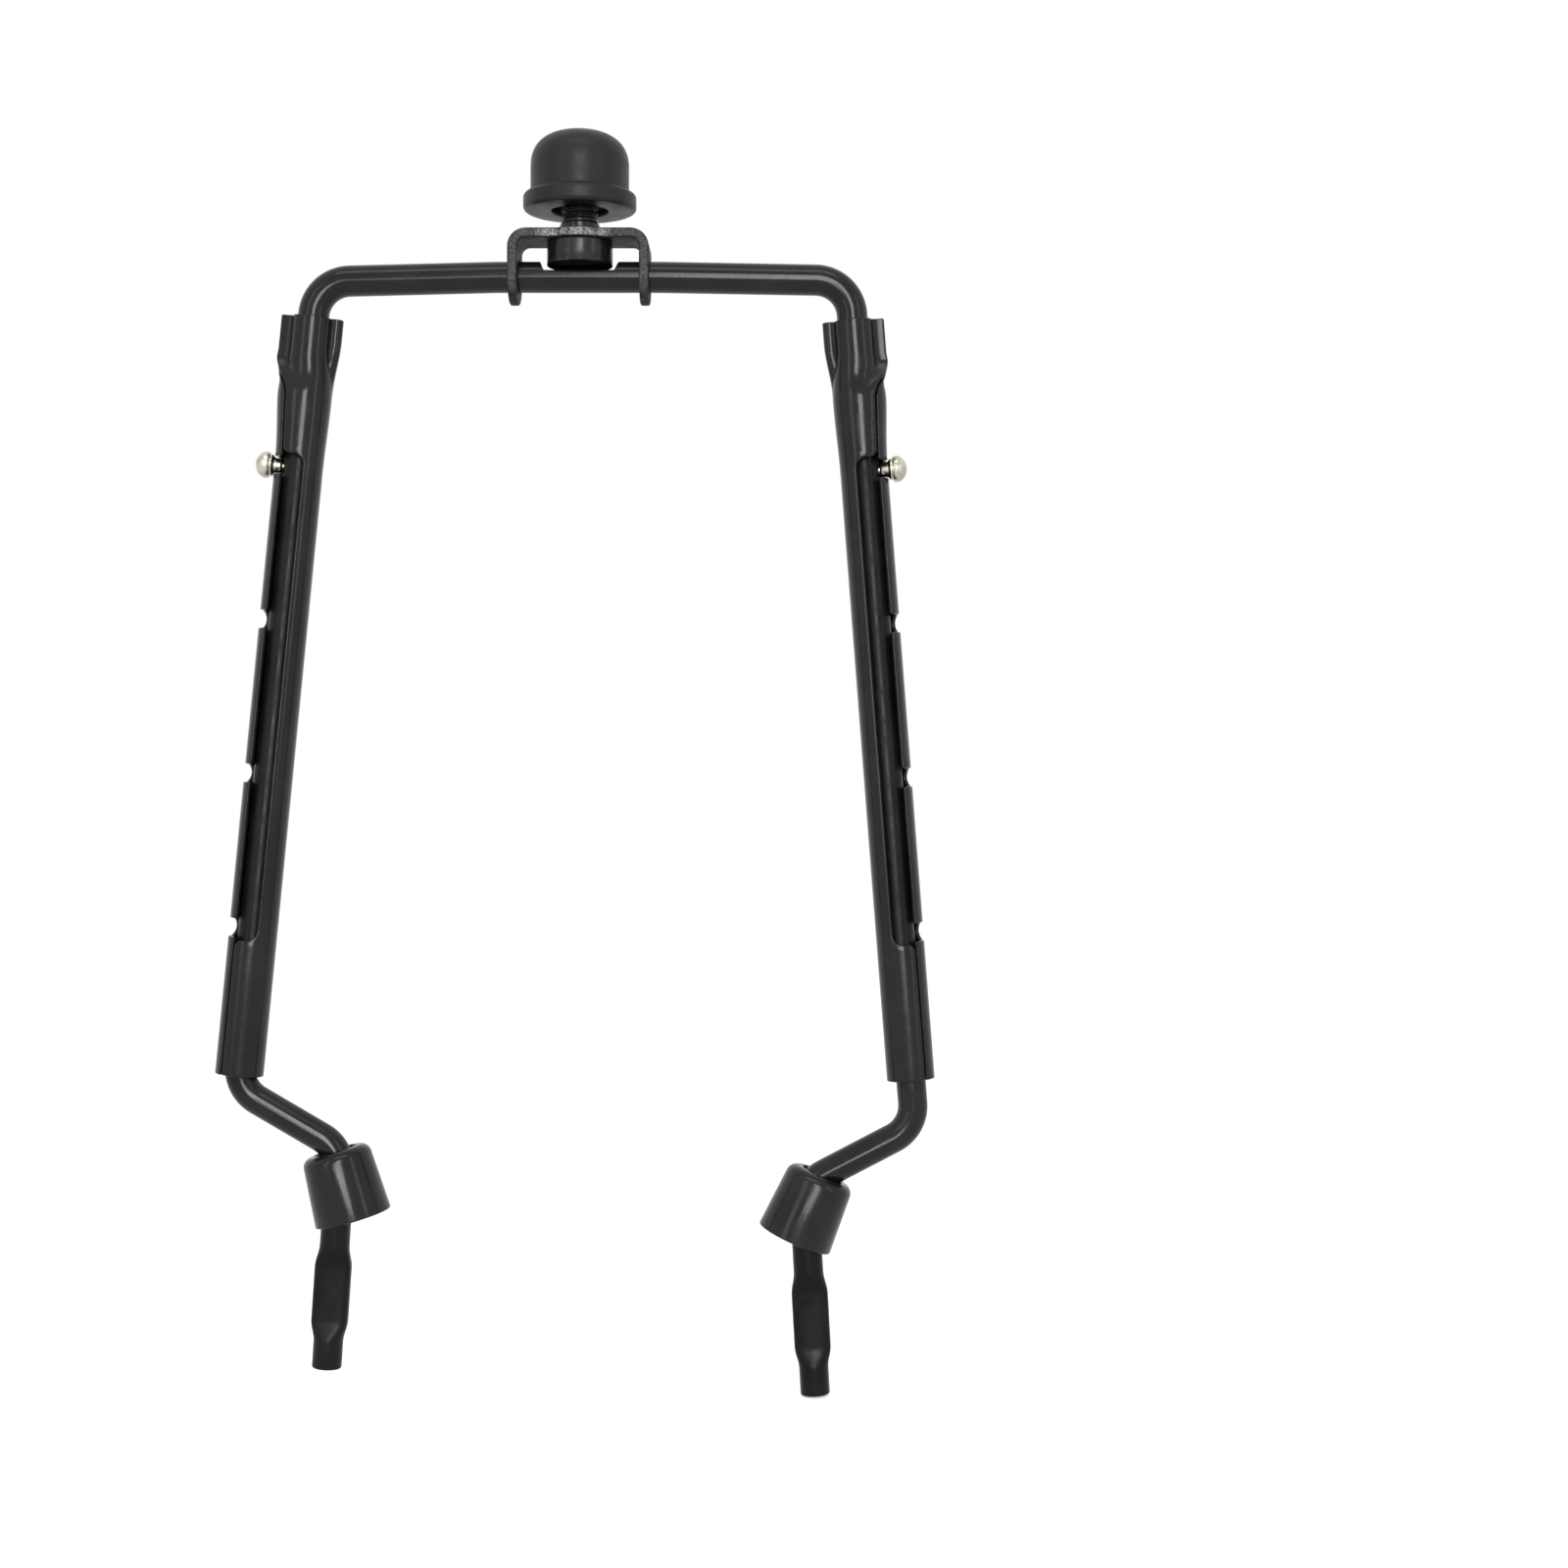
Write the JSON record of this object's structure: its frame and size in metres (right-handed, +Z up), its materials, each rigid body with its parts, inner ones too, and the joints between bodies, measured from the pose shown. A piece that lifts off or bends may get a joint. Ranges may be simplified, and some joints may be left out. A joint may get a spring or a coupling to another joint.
{
  "type": "adjustable lamp harp",
  "caption": "Adjustable wire lamp harp: a U-shaped top with a swivel bracket and finial knob, slotted sleeves that lock two bent legs at set heights, and loose ferrules on the feet.",
  "frame": {"origin": "middle of the bottom of the harp's box, at the level of the lower foot tip and midway between the sleeves' lower ends", "axes": "+Z up from the feet to the finial knob, +X along the bar to the right as the front is seen, -Y the slotted front"},
  "size_m": [0.1184, 0.0186, 0.208],
  "materials": {
    "black_enamel": "glossy black enamel over steel wire and sheet",
    "satin_black": "satin black paint",
    "nickel": "pale plated metal, half bright"
  },
  "bodies": {
    "bow": {"top_bow": "black_enamel", "left_tube": "black_enamel", "right_tube": "black_enamel"},
    "left_leg": {"left_leg": "black_enamel", "left_pin": "nickel"},
    "right_leg": {"right_leg": "black_enamel", "right_pin": "nickel"},
    "left_ferrule": {"left_ferrule": "black_enamel"},
    "right_ferrule": {"right_ferrule": "black_enamel"},
    "bracket": {"swivel_bracket": "black_enamel", "finial_stud": "black_enamel"},
    "knob": {"finial_knob": "satin_black"}
  },
  "joints": [
    {"name": "left_leg_turn", "type": "hinge", "parent": "bow", "child": "left_leg", "pos_m": [-0.05531, 0, 0.05276], "axis": [0.0976, 0, 0.9952], "range_deg": [-10, 84]},
    {"name": "right_leg_turn", "type": "hinge", "parent": "bow", "child": "right_leg", "pos_m": [0.0553, 0, 0.05197], "axis": [0.0767, 0, -0.9971], "range_deg": [-10, 84]},
    {"name": "bracket_swivel", "type": "hinge", "parent": "bow", "child": "bracket", "pos_m": [0, 0, 0.18403], "axis": [1, 0, 0], "range_deg": [-20, 20]},
    {"name": "knob_screw", "type": "slide", "parent": "bracket", "child": "knob", "axis": [0, 0, 1], "range_m": [-0.003, 0.0048]},
    {"name": "left_ferrule_drop", "type": "hinge", "parent": "left_leg", "child": "left_ferrule", "pos_m": [-0.07548, 0, 0.03601], "axis": [0, 1, 0], "range_deg": [0, 20]},
    {"name": "right_ferrule_drop", "type": "hinge", "parent": "right_leg", "child": "right_ferrule", "pos_m": [0.0626, 0, 0.02409], "axis": [0, -1, 0], "range_deg": [0, 30]}
  ]
}
